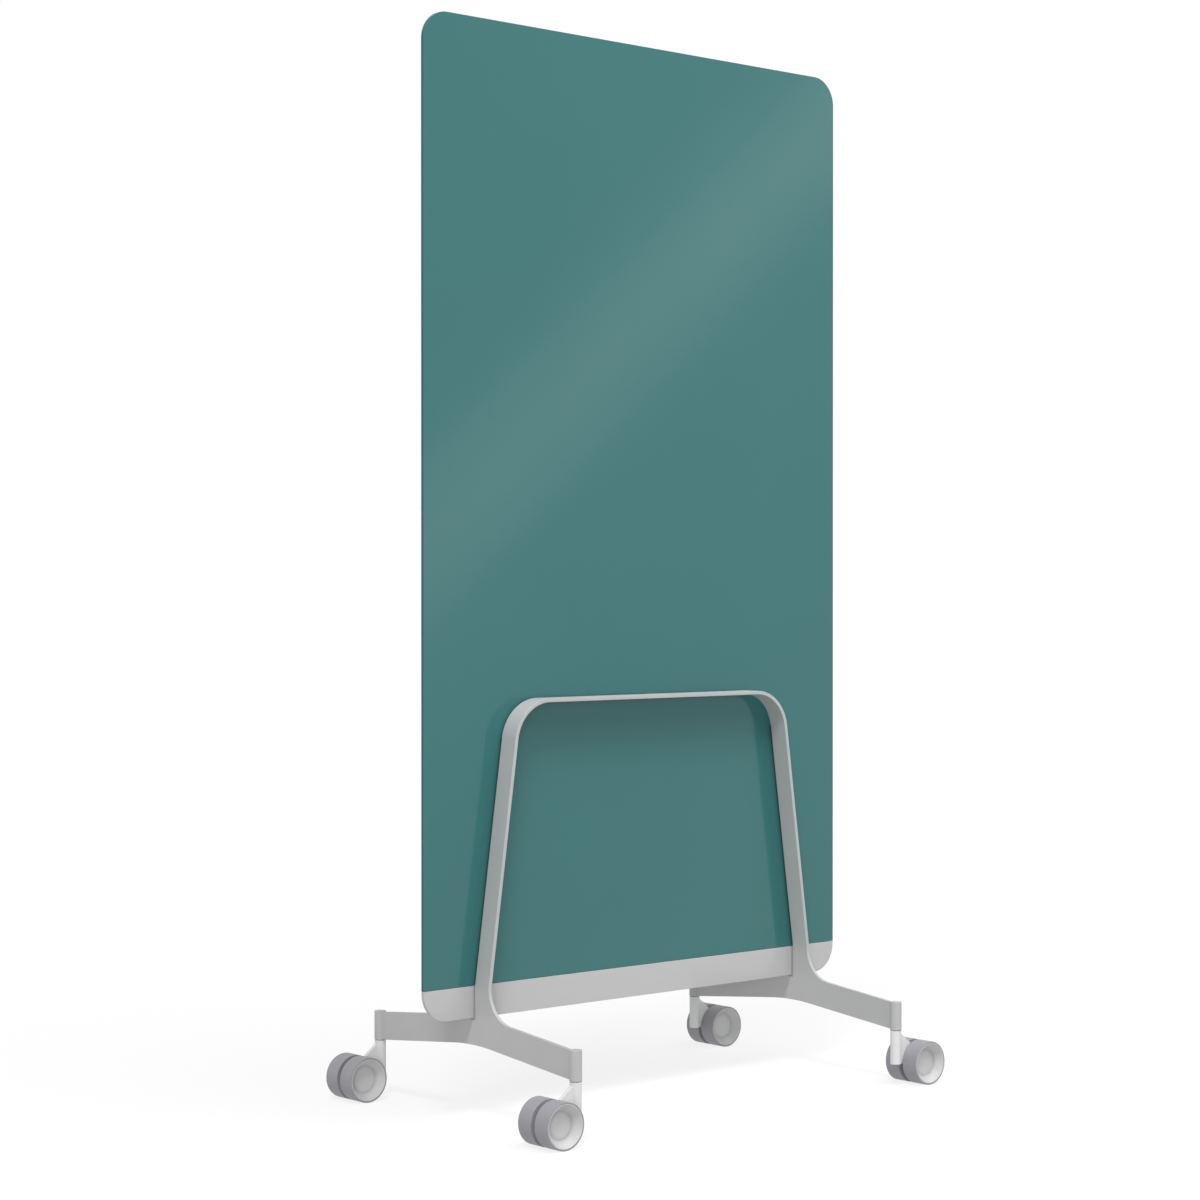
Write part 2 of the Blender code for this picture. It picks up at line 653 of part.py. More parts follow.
def make_caster(place, side, end, collection, finishes, yoke_mesh):
    """One caster under its sleeve: the fixed stem, the swivelling yoke and its two wheels."""
    swivel = bpy.data.objects.new(f"swivel_{place}", None)
    collection.objects.link(swivel)
    swivel.location = (side * PLATE_X, end * CASTER_Y, 0.0)
    fixed = [make_sleeve(f"caster_sleeve_{place}", collection, finishes["frame"]),
             make_bush(f"stem_bush_{place}", collection, finishes["nylon"]),
             make_stem(f"caster_stem_{place}", collection, finishes["steel"]),
             make_washer(f"thrust_washer_{place}", collection, finishes["nylon"])]
    for thing in fixed:
        thing.location = swivel.location
    trail_turn = 0.0 if side < 0 else math.pi
    swivel.rotation_euler.z = trail_turn
    yoke = bpy.data.objects.new(f"caster_yoke_{place}", yoke_mesh)
    collection.objects.link(yoke)
    yoke.parent = swivel
    axle = make_axle(f"wheel_axle_{place}", collection, finishes["steel"])
    axle.location = (-TRAIL, 0.0, WHEEL_RADIUS)
    axle.rotation_euler.x = math.pi / 2
    axle.parent = swivel
    for world_side, side_name in ((-1, "front"), (1, "rear")):
        facing = world_side if side < 0 else -world_side
        hub = turned(f"wheel_hub_{place}_{side_name}", hub_profile(), HUB_SIDES, collection,
                     finishes["hub"])
        tyre = turned(f"tyre_{place}_{side_name}", tyre_profile(), TYRE_SIDES, collection,
                      finishes["tyre"], ring=True)
        for thing in (hub, tyre):
            thing.location = (-TRAIL, 0.0, WHEEL_RADIUS)
            thing.rotation_euler.x = -facing * math.pi / 2
            thing.parent = swivel


def make_whiteboard():
    collection = new_collection(COLLECTION_NAME)
    cutters = new_collection(CUTTER_COLLECTION_NAME)
    frame, nylon, steel = frame_paint(), grey_nylon(), bright_steel()
    glass, silver = painted_glass(), rail_silver()

    make_glass("front_glass", -1, collection, glass)
    make_glass("rear_glass", 1, collection, glass)
    sheet = make_steel_sheet(collection, sheet_steel())
    rails = [make_rail("rail_front", -1, collection, silver), make_rail("rail_rear", 1, collection, silver)]

    make_hoop(collection, frame)
    make_bond_strips(collection, clear_tape())
    targets = {}
    for side, side_name in ((-1, "left"), (1, "right")):
        plate = make_side_plate(f"side_plate_{side_name}", side, collection, cutters, frame)
        seat = make_panel_seat(f"panel_seat_{side_name}", side, collection, nylon)
        targets[side_name] = [sheet, plate, seat] + rails
    make_screws(targets, collection, cutters, steel)

    yoke_mesh = make_yoke_mesh(cutters, caster_white())
    finishes = {"frame": frame, "nylon": nylon, "steel": steel, "hub": hub_white(), "tyre": tyre_grey()}
    for end, end_name in ((-1, "front"), (1, "rear")):
        for side, side_name in ((-1, "left"), (1, "right")):
            make_caster(f"{end_name}_{side_name}", side, end, collection, finishes, yoke_mesh)


clear_scene()
make_whiteboard()
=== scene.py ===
"""Looks of the mobile glass whiteboard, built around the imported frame.

Metres, +Z up, -Y is the front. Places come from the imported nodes' boxes; the sizes named here
are those that a box can't give, such as radii and wall thicknesses.
"""
import math

import bmesh
import bpy
from mathutils import Matrix, Vector


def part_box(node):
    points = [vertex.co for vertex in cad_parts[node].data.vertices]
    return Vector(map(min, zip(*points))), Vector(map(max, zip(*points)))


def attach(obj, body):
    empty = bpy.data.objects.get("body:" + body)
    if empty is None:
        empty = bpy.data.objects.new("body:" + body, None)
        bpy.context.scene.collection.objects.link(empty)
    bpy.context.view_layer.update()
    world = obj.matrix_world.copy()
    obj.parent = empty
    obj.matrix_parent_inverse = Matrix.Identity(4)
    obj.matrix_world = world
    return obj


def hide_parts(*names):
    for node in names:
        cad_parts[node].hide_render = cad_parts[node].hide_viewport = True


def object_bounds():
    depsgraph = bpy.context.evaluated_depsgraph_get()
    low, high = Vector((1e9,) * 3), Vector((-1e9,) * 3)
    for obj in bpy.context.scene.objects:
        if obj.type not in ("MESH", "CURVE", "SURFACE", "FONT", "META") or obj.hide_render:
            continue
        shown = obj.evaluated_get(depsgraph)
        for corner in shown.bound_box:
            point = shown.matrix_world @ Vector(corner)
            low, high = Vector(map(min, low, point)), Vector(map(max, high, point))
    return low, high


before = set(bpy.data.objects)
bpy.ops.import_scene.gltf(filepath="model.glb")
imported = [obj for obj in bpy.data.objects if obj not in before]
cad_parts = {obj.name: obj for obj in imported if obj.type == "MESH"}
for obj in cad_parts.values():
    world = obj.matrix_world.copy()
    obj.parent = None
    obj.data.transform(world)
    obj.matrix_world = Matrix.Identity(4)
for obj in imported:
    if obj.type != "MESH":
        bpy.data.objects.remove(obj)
CAD_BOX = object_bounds()

# Shared: a running fit, and how far a cutter stands out of what it cuts
FIT = 0.0003
OVERRUN = 0.0020

# Board
CORNER_RADIUS = 0.0470
CORNER_STEPS = 28
GLASS_ARRIS = 0.0005  # round along each edge
RAIL_ARRIS = 0.0010

# Frame
HOOP_LEAN = math.radians(8.0)
HOOP_BEND_RADIUS = 0.0720  # of the bar's outer face
BAR_EDGE = 0.0007
ARM_FALL = math.radians(6.0)
ARM_HEIGHT = 0.0459
RAIL_LAP = 0.0059  # from the rail's bottom up to where the arms' top lines meet
ARM_FILLET = 0.0540  # between the leg's front edge and the front arm
UNDERSIDE_RADIUS = 0.4700
NOTCH_DEPTH = 0.0026  # from the rail's bottom down to the notch's floor
BEND_STEPS = 36
ARM_END_SINK = 0.0011  # of the arm's end into its sleeve

# Sleeves, bushes and stems
SLEEVE_WALL = 0.0018
SLEEVE_CROWN = 0.0040  # thickness of the closed top
SLEEVE_EDGE = 0.0006
BUSH_EDGE = 0.0002
STEM_EDGE = 0.0008
PINTLE_RADIUS = 0.0042
PINTLE_LENGTH = 0.0400

# Yoke
WEB_THICKNESS = 0.0065
WEB_DROP = 0.0023  # from the housing's top down to the web's
WEB_FOOT_RISE = 0.0044  # from the axle up to the web's foot, at the housing
WEB_FILLET = 0.0016
WEB_SINK = 0.00015  # of the fillet's start into the housing
WEB_ROOT_WALL = 0.0010  # between the web's start and the pintle's bore
BOSS_RADIUS = 0.0157
YOKE_EDGE = 0.0006
AXLE_RADIUS = 0.0040
AXLE_EDGE = 0.0005

# Wheels
TYRE_THICKNESS = 0.0022
TREAD_ROUND = 0.0006
TYRE_WALL = 0.0015
TYRE_WALL_REACH = 0.0085
BOWL_RIM = 0.0015  # from the hub's outside in to the bowl
BOWL_LIP = 0.0012
BOWL_DEPTH = 0.0124
BOWL_TURN = math.radians(24.0)  # that the bowl's wall grows steeper by
DISC_RADIUS = 0.0222
DISC_FILLET = 0.0008
HUB_RIM_WALL = 0.0030
HUB_WEB = 0.0060  # thickness behind the disc
HUB_BOSS_RADIUS = 0.0085
HUB_END_WALL = 0.0028  # between the disc and the blind bore
HUB_EDGE = 0.0003
BOWL_STEPS = 14

# Screws
SCREW_RADIUS = 0.0015
SCREW_HEAD_HEIGHT = 0.0016
SCREW_SOCKET_RADIUS = 0.0012
SCREW_SOCKET_DEPTH = 0.0010
SCREW_EDGE = 0.0002

# Facets
ROUND_SIDES = 96
PIN_SIDES = 48
HEX_SIDES = 6
EDGE_STEPS = 3
ROUND_STEPS = 4
WASHER_STEPS = 2
SMOOTH_ANGLE = math.radians(35.0)
BEVEL_ANGLE = math.radians(25.0)
FLAT_ANGLE = math.radians(0.2)
MERGE_DISTANCE = 0.00001

ENDS = (("front", -1), ("rear", 1))
SIDES = (("left", -1), ("right", 1))
BOARD_BODY = "board_and_frame"

# Turns for a solid made flat in XY or upright on Z
FACING_FRONT = Matrix.Rotation(math.pi / 2, 4, "X")
FACING_SIDE = Matrix.Rotation(math.pi / 2, 4, "Z") @ Matrix.Rotation(math.pi / 2, 4, "X")
FACING_REAR = Matrix.Rotation(-math.pi / 2, 4, "X")

# Looks: the darker and the lighter colour of each, mixed by a noise
GLASS_COLOURS = ((0.0330, 0.1530, 0.1535), (0.0355, 0.1590, 0.1595))
GLASS_EDGE_COLOURS = ((0.0260, 0.1180, 0.1160), (0.0320, 0.1350, 0.1320))
RAIL_COLOURS = ((0.481, 0.481, 0.483), (0.504, 0.504, 0.506))
PAINT_COLOURS = ((0.449, 0.448, 0.448), (0.470, 0.469, 0.469))
YOKE_COLOURS = ((0.703, 0.703, 0.701), (0.725, 0.725, 0.722))
HUB_COLOURS = ((0.536, 0.534, 0.534), (0.558, 0.556, 0.556))
NYLON_COLOURS = ((0.296, 0.296, 0.300), (0.318, 0.318, 0.322))
TYRE_COLOURS = ((0.288, 0.281, 0.304), (0.311, 0.303, 0.331))
PIN_COLOURS = ((0.560, 0.562, 0.570), (0.640, 0.642, 0.648))
SHEET_COLOURS = ((0.330, 0.335, 0.340), (0.400, 0.405, 0.410))
# The tape's colours hold painted shade: darker than the glass seen through it, as in the shaded gap
TAPE_GAP_SHADE_COLOURS = ((0.022, 0.070, 0.071), (0.027, 0.080, 0.080))
# Painted shade in the hubs' bowls: their colour darkens where the hub's own surface closes round it
HUB_PAINTED_SHADE_REACH = 0.008
HUB_PAINTED_SHADE_SHARE = 0.48  # of a hub's colour left where its painted shade is deepest, most closed in
PAINTED_SHADE_OPENNESS = 0.7  # openness below which the painted shade grows no darker
NOISE_RANGE = (0.3, 0.7)  # that most of a noise stays in

# A colour Mix node's sockets, by number: their names are shared with its other kinds
MIX_FIRST, MIX_SECOND, MIX_RESULT = 6, 7, 2

# Studio
FLOOR_SIZE = 60.0
FLOOR_ROUGHNESS = 0.9
FLOOR_WHITE_SHARE = 0.82  # of plain white, as seen near the object; the rest takes its shadow
FLOOR_GLOW_SHARE = 0.50  # of an even glow, in the light that the object gets
FLOOR_SHADOW_REACH = 0.70  # from the object's middle to where its shadow starts to fade
FLOOR_FADE_END = 2.60
FLOOR_COLOUR = (0.90, 0.90, 0.90)  # as seen
FLOOR_BOUNCE = (0.30, 0.30, 0.30)  # as it lights the object
SKY_STRENGTH = 0.38  # on the object; the camera and reflections see a strength of 1
# Name, strength, degrees to the right of the front, degrees up, degrees across, distance
LAMPS = (("key", 0.52, -50.0, 57.0, 14.0, 30.0),
         ("fill", 0.71, 22.0, 63.0, 46.0, 6.5),
         ("low", 0.17, -45.0, 8.0, 14.0, 30.0))
STREAK_STRENGTH = 1.12
STREAK_START = (2.627, -4.0, 1.019)
STREAK_END = (4.533, -4.0, 2.596)
STREAK_WIDTH = 0.70
STREAK_LENGTH = 6.0
STREAK_HALF = 0.5  # of the unit square that the strip is stretched from

# Camera, from a fit to the photograph
CAMERA_PLACE = (-2.98417, -3.31742, 0.84514)
CAMERA_PITCH = -0.0057439
CAMERA_YAW = -0.7173131
CAMERA_LENS = 80.238
CAMERA_SENSOR = 36.0


def centre_of(node):
    """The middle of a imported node's box."""
    low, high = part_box(node)
    return (low + high) / 2


def arc(centre, radius, start, end, steps):
    """Points on an arc from one angle to another, both ends included."""
    points = []
    for step in range(steps + 1):
        angle = start + (end - start) * step / steps
        points.append((centre[0] + radius * math.cos(angle), centre[1] + radius * math.sin(angle)))
    return points


def rounded(corners, steps):
    """An outline of (u, v, radius) corners, with an arc at each corner that has a radius."""
    points = []
    count = len(corners)
    for index, (u, v, radius) in enumerate(corners):
        here = Vector((u, v))
        if radius == 0:
            points.append((u, v))
            continue
        before = (Vector(corners[index - 1][:2]) - here).normalized()
        after = (Vector(corners[(index + 1) % count][:2]) - here).normalized()
        opening = before.angle(after)
        middle = here + (before + after).normalized() * radius / math.sin(opening / 2)
        first = here + before * radius / math.tan(opening / 2) - middle
        sweep = math.pi - opening
        if before.x * after.y - before.y * after.x > 0:
            sweep = -sweep
        start = math.atan2(first.y, first.x)
        points += arc(middle, radius, start, start + sweep, steps)
    return points


def hollow_arc(first, last, turn, steps):
    """Points on an arc from one point to another that grows steeper by an angle on its way."""
    chord = Vector(last) - Vector(first)
    slope = math.atan2(chord.y, chord.x) - turn / 2
    radius = chord.length / 2 / math.sin(turn / 2)
    centre = (first[0] - radius * math.sin(slope), first[1] + radius * math.cos(slope))
    return arc(centre, radius, slope - math.pi / 2, slope + turn - math.pi / 2, steps)


def shape_to_mesh(shape, name):
    """A mesh from a shape, its faces turned outwards. The shape is freed."""
    bmesh.ops.recalc_face_normals(shape, faces=shape.faces)
    mesh = bpy.data.meshes.new(name)
    shape.to_mesh(mesh)
    shape.free()
    return mesh


def prism(name, outline, depth, turn=Matrix.Identity(4)):
    """A closed solid: the outline in XY, as deep as asked along Z about the middle, then turned."""
    shape = bmesh.new()
    base = shape.faces.new([shape.verts.new((u, v, -depth / 2)) for u, v in outline])
    swept = bmesh.ops.extrude_face_region(shape, geom=[base])
    moved = [item for item in swept["geom"] if isinstance(item, bmesh.types.BMVert)]
    bmesh.ops.translate(shape, verts=moved, vec=(0.0, 0.0, depth))
    mesh = shape_to_mesh(shape, name)
    mesh.transform(turn)
    return mesh


def lathe(name, profile, sides):
    """A closed round solid about Z, from a profile of (radius, height) points."""
    shape = bmesh.new()
    verts = [shape.verts.new((radius, 0.0, height)) for radius, height in profile]
    edges = [shape.edges.new(pair) for pair in zip(verts, verts[1:])]
    if profile[0][0] > 0:
        edges.append(shape.edges.new((verts[-1], verts[0])))
    bmesh.ops.spin(shape, geom=verts + edges, cent=(0.0, 0.0, 0.0), axis=(0.0, 0.0, 1.0),
                   angle=math.tau, steps=sides, use_merge=True)
    bmesh.ops.remove_doubles(shape, verts=shape.verts, dist=MERGE_DISTANCE)
    return shape_to_mesh(shape, name)


def stand_in(mesh):
    """An object that holds a mesh while modifiers work on it."""
    made = bpy.data.objects.new(mesh.name, mesh)
    bpy.context.scene.collection.objects.link(made)
    return made


def applied(thing):
    """The mesh that an object's modifiers make. The object is removed."""
    bpy.context.view_layer.update()
    evaluated = thing.evaluated_get(bpy.context.evaluated_depsgraph_get())
    mesh = bpy.data.meshes.new_from_object(evaluated)
    mesh.name = thing.name
    bpy.data.objects.remove(thing, do_unlink=True)
    return mesh


def combined(mesh, others, operation):
    """One mesh joined to, cut by or kept within others."""
    thing = stand_in(mesh)
    helpers = [stand_in(other) for other in others]
    for helper in helpers:
        step = thing.modifiers.new(operation.lower(), "BOOLEAN")
        step.operation = operation
        step.object = helper
        step.solver = "EXACT"
    made = applied(thing)
    for helper in helpers:
        bpy.data.objects.remove(helper, do_unlink=True)
    return made


def edged(mesh, width):
    """The mesh with its sharp edges rounded."""
    shape = bmesh.new()
    shape.from_mesh(mesh)
    bmesh.ops.remove_doubles(shape, verts=shape.verts, dist=MERGE_DISTANCE)
    bmesh.ops.dissolve_limit(shape, angle_limit=FLAT_ANGLE, verts=shape.verts, edges=shape.edges)
    shape.to_mesh(mesh)
    shape.free()
    thing = stand_in(mesh)
    bevel = thing.modifiers.new("edges", "BEVEL")
    bevel.width = width
    bevel.segments = EDGE_STEPS
    bevel.limit_method = "ANGLE"
    bevel.angle_limit = BEVEL_ANGLE
    return applied(thing)


def shaded(mesh):
    """The mesh shaded smooth over its rounds, with its flat faces kept flat."""
    mesh.shade_smooth()
    mesh.set_sharp_from_angle(angle=SMOOTH_ANGLE)
    thing = stand_in(mesh)
    weighted = thing.modifiers.new("flats", "WEIGHTED_NORMAL")
    weighted.keep_sharp = True
    return applied(thing)


def add_piece(name, mesh, finishes, body, replaced,
              place=(0.0, 0.0, 0.0), turn=(0.0, 0.0, 0.0)):
    """A piece of the object, riding on a body and standing for CAD nodes."""
    piece = bpy.data.objects.new(name, mesh)
    bpy.context.scene.collection.objects.link(piece)
    piece.location = place
    piece.rotation_euler = turn
    mesh.materials.clear()
    for finish in finishes:
        mesh.materials.append(finish)
    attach(piece, body)
    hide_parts(*replaced)


class Nodes:
    """Short calls for building a material's node tree."""

    def __init__(self, name):
        self.material = bpy.data.materials.new(name)
        self.material.use_nodes = True
        self.tree = self.material.node_tree
        self.shader = self.tree.nodes["Principled BSDF"]

    def add(self, kind, **settings):
        node = self.tree.nodes.new(kind)
        for key, value in settings.items():
            setattr(node, key, value)
        return node

    def link(self, source, target):
        self.tree.links.new(source, target)

    def coordinates(self, stretch=(1.0, 1.0, 1.0)):
        """Object coordinates in metres, stretched along each axis."""
        place = self.add("ShaderNodeTexCoord")
        mapping = self.add("ShaderNodeMapping")
        mapping.inputs["Scale"].default_value = stretch
        self.link(place.outputs["Object"], mapping.inputs["Vector"])
        return mapping.outputs["Vector"]

    def noise(self, vector, scale, detail=2.0, roughness=0.5):
        node = self.add("ShaderNodeTexNoise")
        node.inputs["Scale"].default_value = scale
        node.inputs["Detail"].default_value = detail
        node.inputs["Roughness"].default_value = roughness
        self.link(vector, node.inputs["Vector"])
        return node.outputs["Fac"]

    def spread(self, factor, low, high, start=NOISE_RANGE[0], end=NOISE_RANGE[1]):
        """A value from low to high, as the factor goes from start to end."""
        node = self.add("ShaderNodeMapRange")
        node.inputs["From Min"].default_value = start
        node.inputs["From Max"].default_value = end
        node.inputs["To Min"].default_value = low
        node.inputs["To Max"].default_value = high
        self.link(factor, node.inputs["Value"])
        return node.outputs["Result"]

    def blend(self, factor, first, second):
        """A colour between two others."""
        node = self.add("ShaderNodeMix", data_type="RGBA")
        node.inputs[MIX_FIRST].default_value = (*first, 1.0)
        node.inputs[MIX_SECOND].default_value = (*second, 1.0)
        self.link(factor, node.inputs["Factor"])
        return node.outputs[MIX_RESULT]

    def mottled(self, noise, colours):
        """A colour that wanders between a darker and a lighter one with a noise."""
        return self.blend(self.spread(noise, 0.0, 1.0), *colours)

    def deepened(self, colour, reach, share):
        """Painted shade: a colour that falls to a share of itself where the piece's own surface
        closes in.
        """
        shade_in_hollows = self.add("ShaderNodeAmbientOcclusion", only_local=True)
        shade_in_hollows.inputs["Distance"].default_value = reach
        node = self.add("ShaderNodeMix", data_type="RGBA", blend_type="MULTIPLY")
        node.inputs["Factor"].default_value = 1.0
        self.link(colour, node.inputs[MIX_FIRST])
        shade = self.spread(shade_in_hollows.outputs["AO"], share, 1.0, PAINTED_SHADE_OPENNESS, 1.0)
        self.link(shade, node.inputs[MIX_SECOND])
        return node.outputs[MIX_RESULT]

    def bump(self, height, distance, strength):
        node = self.add("ShaderNodeBump")
        node.inputs["Distance"].default_value = distance
        node.inputs["Strength"].default_value = strength
        self.link(height, node.inputs["Height"])
        return node.outputs["Normal"]

    def finish(self, colour, roughness, normal=None, metallic=0.0, specular=0.5):
        self.link(colour, self.shader.inputs["Base Color"])
        self.link(roughness, self.shader.inputs["Roughness"])
        if normal is not None:
            self.link(normal, self.shader.inputs["Normal"])
        self.shader.inputs["Metallic"].default_value = metallic
        self.shader.inputs["Specular IOR Level"].default_value = specular
        return self.material


def painted_glass():
    """Polished glass over teal paint: even colour, faint wiping marks and a hint of roller wave."""
    nodes = Nodes("painted_glass")
    colour = nodes.mottled(nodes.noise(nodes.coordinates(), scale=2.2, detail=3.0), GLASS_COLOURS)
    wiped = nodes.noise(nodes.coordinates((9.0, 9.0, 2.2)), scale=2.0, detail=5.0, roughness=0.6)
    wave = nodes.noise(nodes.coordinates((1.0, 1.0, 5.0)), scale=1.6, detail=1.0)
    return nodes.finish(colour, nodes.spread(wiped, low=0.095, high=0.120),
                        nodes.bump(wave, distance=0.0004, strength=0.25), specular=0.40)


def glass_edge():
    """Ground and polished edge, where the glass looks deeper in colour."""
    nodes = Nodes("glass_edge")
    fine = nodes.noise(nodes.coordinates(), scale=900.0)
    return nodes.finish(nodes.mottled(fine, GLASS_EDGE_COLOURS),
                        nodes.spread(fine, low=0.18, high=0.26),
                        nodes.bump(fine, distance=0.00004, strength=0.4))


def rail_silver():
    """Satin silver plate with a fine grain along its length."""
    nodes = Nodes("rail_silver")
    along = nodes.coordinates((18.0, 600.0, 1500.0))
    grain = nodes.noise(along, scale=1.0, detail=3.0, roughness=0.6)
    return nodes.finish(nodes.mottled(grain, RAIL_COLOURS),
                        nodes.spread(grain, low=0.10, high=0.16),
                        nodes.bump(grain, distance=0.00001, strength=0.3))


def frame_paint():
    """Satin silver-grey powder coat with a light orange peel."""
    nodes = Nodes("frame_paint")
    wide = nodes.coordinates()
    cloud = nodes.noise(wide, scale=14.0)
    peel = nodes.noise(wide, scale=620.0, roughness=0.45)
    speck = nodes.noise(wide, scale=2600.0, detail=1.0)
    return nodes.finish(nodes.mottled(cloud, PAINT_COLOURS),
                        nodes.spread(speck, low=0.40, high=0.50),
                        nodes.bump(peel, distance=0.00005, strength=0.55))


def moulded(name, colours, low, high, shade_in_hollows=None):
    """A moulded plastic with a fine spark-eroded grain and faint flow clouding.

    A hollow shade, if given, is a reach and a share for painted shade that darkens the colour where
    the surface closes in.
    """
    nodes = Nodes(name)
    wide = nodes.coordinates()
    colour = nodes.mottled(nodes.noise(wide, scale=45.0), colours)
    # painted shade, darker where the piece's own surface closes in
    if shade_in_hollows:
        colour = nodes.deepened(colour, *shade_in_hollows)
    grain = nodes.noise(wide, scale=2200.0)
    return nodes.finish(colour, nodes.spread(grain, low, high),
                        nodes.bump(grain, distance=0.00003, strength=0.4))


def caster_white():
    return moulded("caster_white", YOKE_COLOURS, low=0.30, high=0.40)


def hub_white():
    # the hubs' colour holds painted shade in their bowls
    return moulded("hub_white", HUB_COLOURS, low=0.32, high=0.42,
                   shade_in_hollows=(HUB_PAINTED_SHADE_REACH, HUB_PAINTED_SHADE_SHARE))


def grey_nylon():
    return moulded("grey_nylon", NYLON_COLOURS, low=0.45, high=0.55)


def tyre_grey():
    """Soft grey tread: fine grain with faint scuffs that run round it."""
    nodes = Nodes("tyre_grey")
    around = nodes.coordinates((60.0, 60.0, 420.0))
    scuff = nodes.noise(around, scale=1.0, detail=4.0, roughness=0.6)
    grain = nodes.noise(nodes.coordinates(), scale=1500.0, detail=3.0, roughness=0.6)
    return nodes.finish(nodes.mottled(scuff, TYRE_COLOURS),
                        nodes.spread(grain, low=0.50, high=0.62),
                        nodes.bump(grain, distance=0.00005, strength=0.5))


def bright_steel():
    """Turned and zinc-plated steel, with rings about its axis."""
    nodes = Nodes("bright_steel")
    ring = nodes.noise(nodes.coordinates((40.0, 40.0, 5000.0)), scale=1.0)
    return nodes.finish(nodes.mottled(ring, PIN_COLOURS),
                        nodes.spread(ring, low=0.22, high=0.32),
                        nodes.bump(ring, distance=0.00002, strength=0.4), metallic=1.0)


def sheet_steel():
    """Cold-rolled sheet, seen only at its edge."""
    nodes = Nodes("sheet_steel")
    grain = nodes.noise(nodes.coordinates((20.0, 20.0, 900.0)), scale=1.0)
    return nodes.finish(nodes.mottled(grain, SHEET_COLOURS),
                        nodes.spread(grain, low=0.40, high=0.50), metallic=0.9)


def clear_tape():
    """Clear bonding tape, teal with the glass behind it and darkened further by painted shade of
    the narrow gap that it sits in.
    """
    nodes = Nodes("clear_tape")
    fine = nodes.noise(nodes.coordinates(), scale=700.0)
    return nodes.finish(nodes.mottled(fine, TAPE_GAP_SHADE_COLOURS), nodes.spread(fine, low=0.25, high=0.35))


def board_outline(node, lower, upper):
    """Outline in X and Z of one of the board's sheets, with its lower and upper corners' radii."""
    low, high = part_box(node)
    corners = [(low.x, low.z, lower), (high.x, low.z, lower),
               (high.x, high.z, upper), (low.x, high.z, upper)]
    return rounded(corners, CORNER_STEPS)


def give_edges_second_finish(mesh):
    """Faces that don't look to the front or the rear take the mesh's second material."""
    for polygon in mesh.polygons:
        polygon.material_index = 0 if abs(polygon.normal.y) > math.cos(BEVEL_ANGLE / 2) else 1


def screw_profile(clearance=0.0, overrun=0.0, edge=0.0):
    """Countersunk screw, or its hole, with its head's face at height zero and its shank down."""
    low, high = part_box("rail_screw_left_lower")
    head, shank = (high.x - low.x) / 2 + clearance, SCREW_RADIUS + clearance
    tip = low.y - high.y - clearance
    start = [(0.0, overrun, 0.0), (head, overrun, 0.0)] if overrun else [(0.0, 0.0, 0.0)]
    return rounded(start + [(head, 0.0, edge), (shank, -SCREW_HEAD_HEIGHT, 0.0),
                            (shank, tip, edge), (0.0, tip, 0.0)], EDGE_STEPS)


def screw_nodes():
    """The four screws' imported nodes."""
    return [f"rail_screw_{side}_{level}" for side, _ in SIDES for level in ("lower", "upper")]


def screw_holes():
    """Cutters, in place, for the countersunk holes that the four screws go through."""
    holes = []
    for node in screw_nodes():
        middle = centre_of(node)
        hole = lathe("screw_hole", screw_profile(FIT, OVERRUN), PIN_SIDES)
        place = Vector((middle.x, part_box(node)[1].y, middle.z))
        hole.transform(Matrix.Translation(place) @ FACING_REAR)
        holes.append(hole)
    return holes


def make_screws(steel):
    """The four screws from the rear of the rail into the side plates, with hex sockets."""
    last = math.tau * (HEX_SIDES - 1) / HEX_SIDES
    hexagon = arc((0.0, 0.0), SCREW_SOCKET_RADIUS, 0.0, last, HEX_SIDES - 1)
    socket = prism("screw_socket", hexagon, 2 * SCREW_SOCKET_DEPTH)
    blank = lathe("rail_screw", screw_profile(edge=SCREW_EDGE), PIN_SIDES)
    mesh = shaded(combined(blank, [socket], "DIFFERENCE"))
    for node in screw_nodes():
        middle = centre_of(node)
        add_piece(node.replace("rail_screw", "countersunk_screw"), mesh, [steel],
                  BOARD_BODY, [node],
                  (middle.x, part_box(node)[1].y, middle.z), FACING_REAR.to_euler())


def make_board(glass, edge, silver):
    """Two sheets of painted glass with the rail plates flush below them."""
    kinds = (("{}_glass", "glass_sheet", 0.0, CORNER_RADIUS, GLASS_ARRIS, "painted_glass"),
             ("rail_{}", "rail_plate", CORNER_RADIUS, 0.0, RAIL_ARRIS, "rail_silver"))
    for pattern, label, lower, upper, arris, slot in kinds:
        is_glass = label == "glass_sheet"
        for end, _ in ENDS:
            node = pattern.format(end)
            low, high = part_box(node)
            mesh = prism(label, board_outline(node, lower, upper), high.y - low.y, FACING_FRONT)
            mesh.transform(Matrix.Translation((0.0, centre_of(node).y, 0.0)))
            mesh = edged(mesh, arris)
            if not is_glass:
                mesh = combined(mesh, screw_holes(), "DIFFERENCE")
            mesh = shaded(mesh)
            add_piece(f"{label}_{end}", mesh, [glass, edge] if is_glass else [silver],
                      BOARD_BODY, [node])
            if is_glass:
                give_edges_second_finish(mesh)


def hoop_outline():
    """The bent bar in X and Z: legs that lean inwards, two bends and a level top."""
    plate_low, plate_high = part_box("side_plate_right")
    top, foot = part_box("hoop_band")[1].z, plate_high.z
    thickness = plate_high.x - plate_low.x
    height = top - HOOP_BEND_RADIUS
    across = (HOOP_BEND_RADIUS + (height - foot) * math.sin(HOOP_LEAN)) / math.cos(HOOP_LEAN)
    centre = (plate_high.x - across, height)

    def face(x, radius):
        """One face of the bar's right half, from its foot round the bend."""
        return [(x, foot)] + arc(centre, radius, HOOP_LEAN, math.pi / 2, BEND_STEPS)

    outer = face(plate_high.x, HOOP_BEND_RADIUS)
    inner = face(plate_low.x, HOOP_BEND_RADIUS - thickness)
    outline = outer + [(-x, z) for x, z in reversed(outer)]
    return outline + [(-x, z) for x, z in inner] + list(reversed(inner))


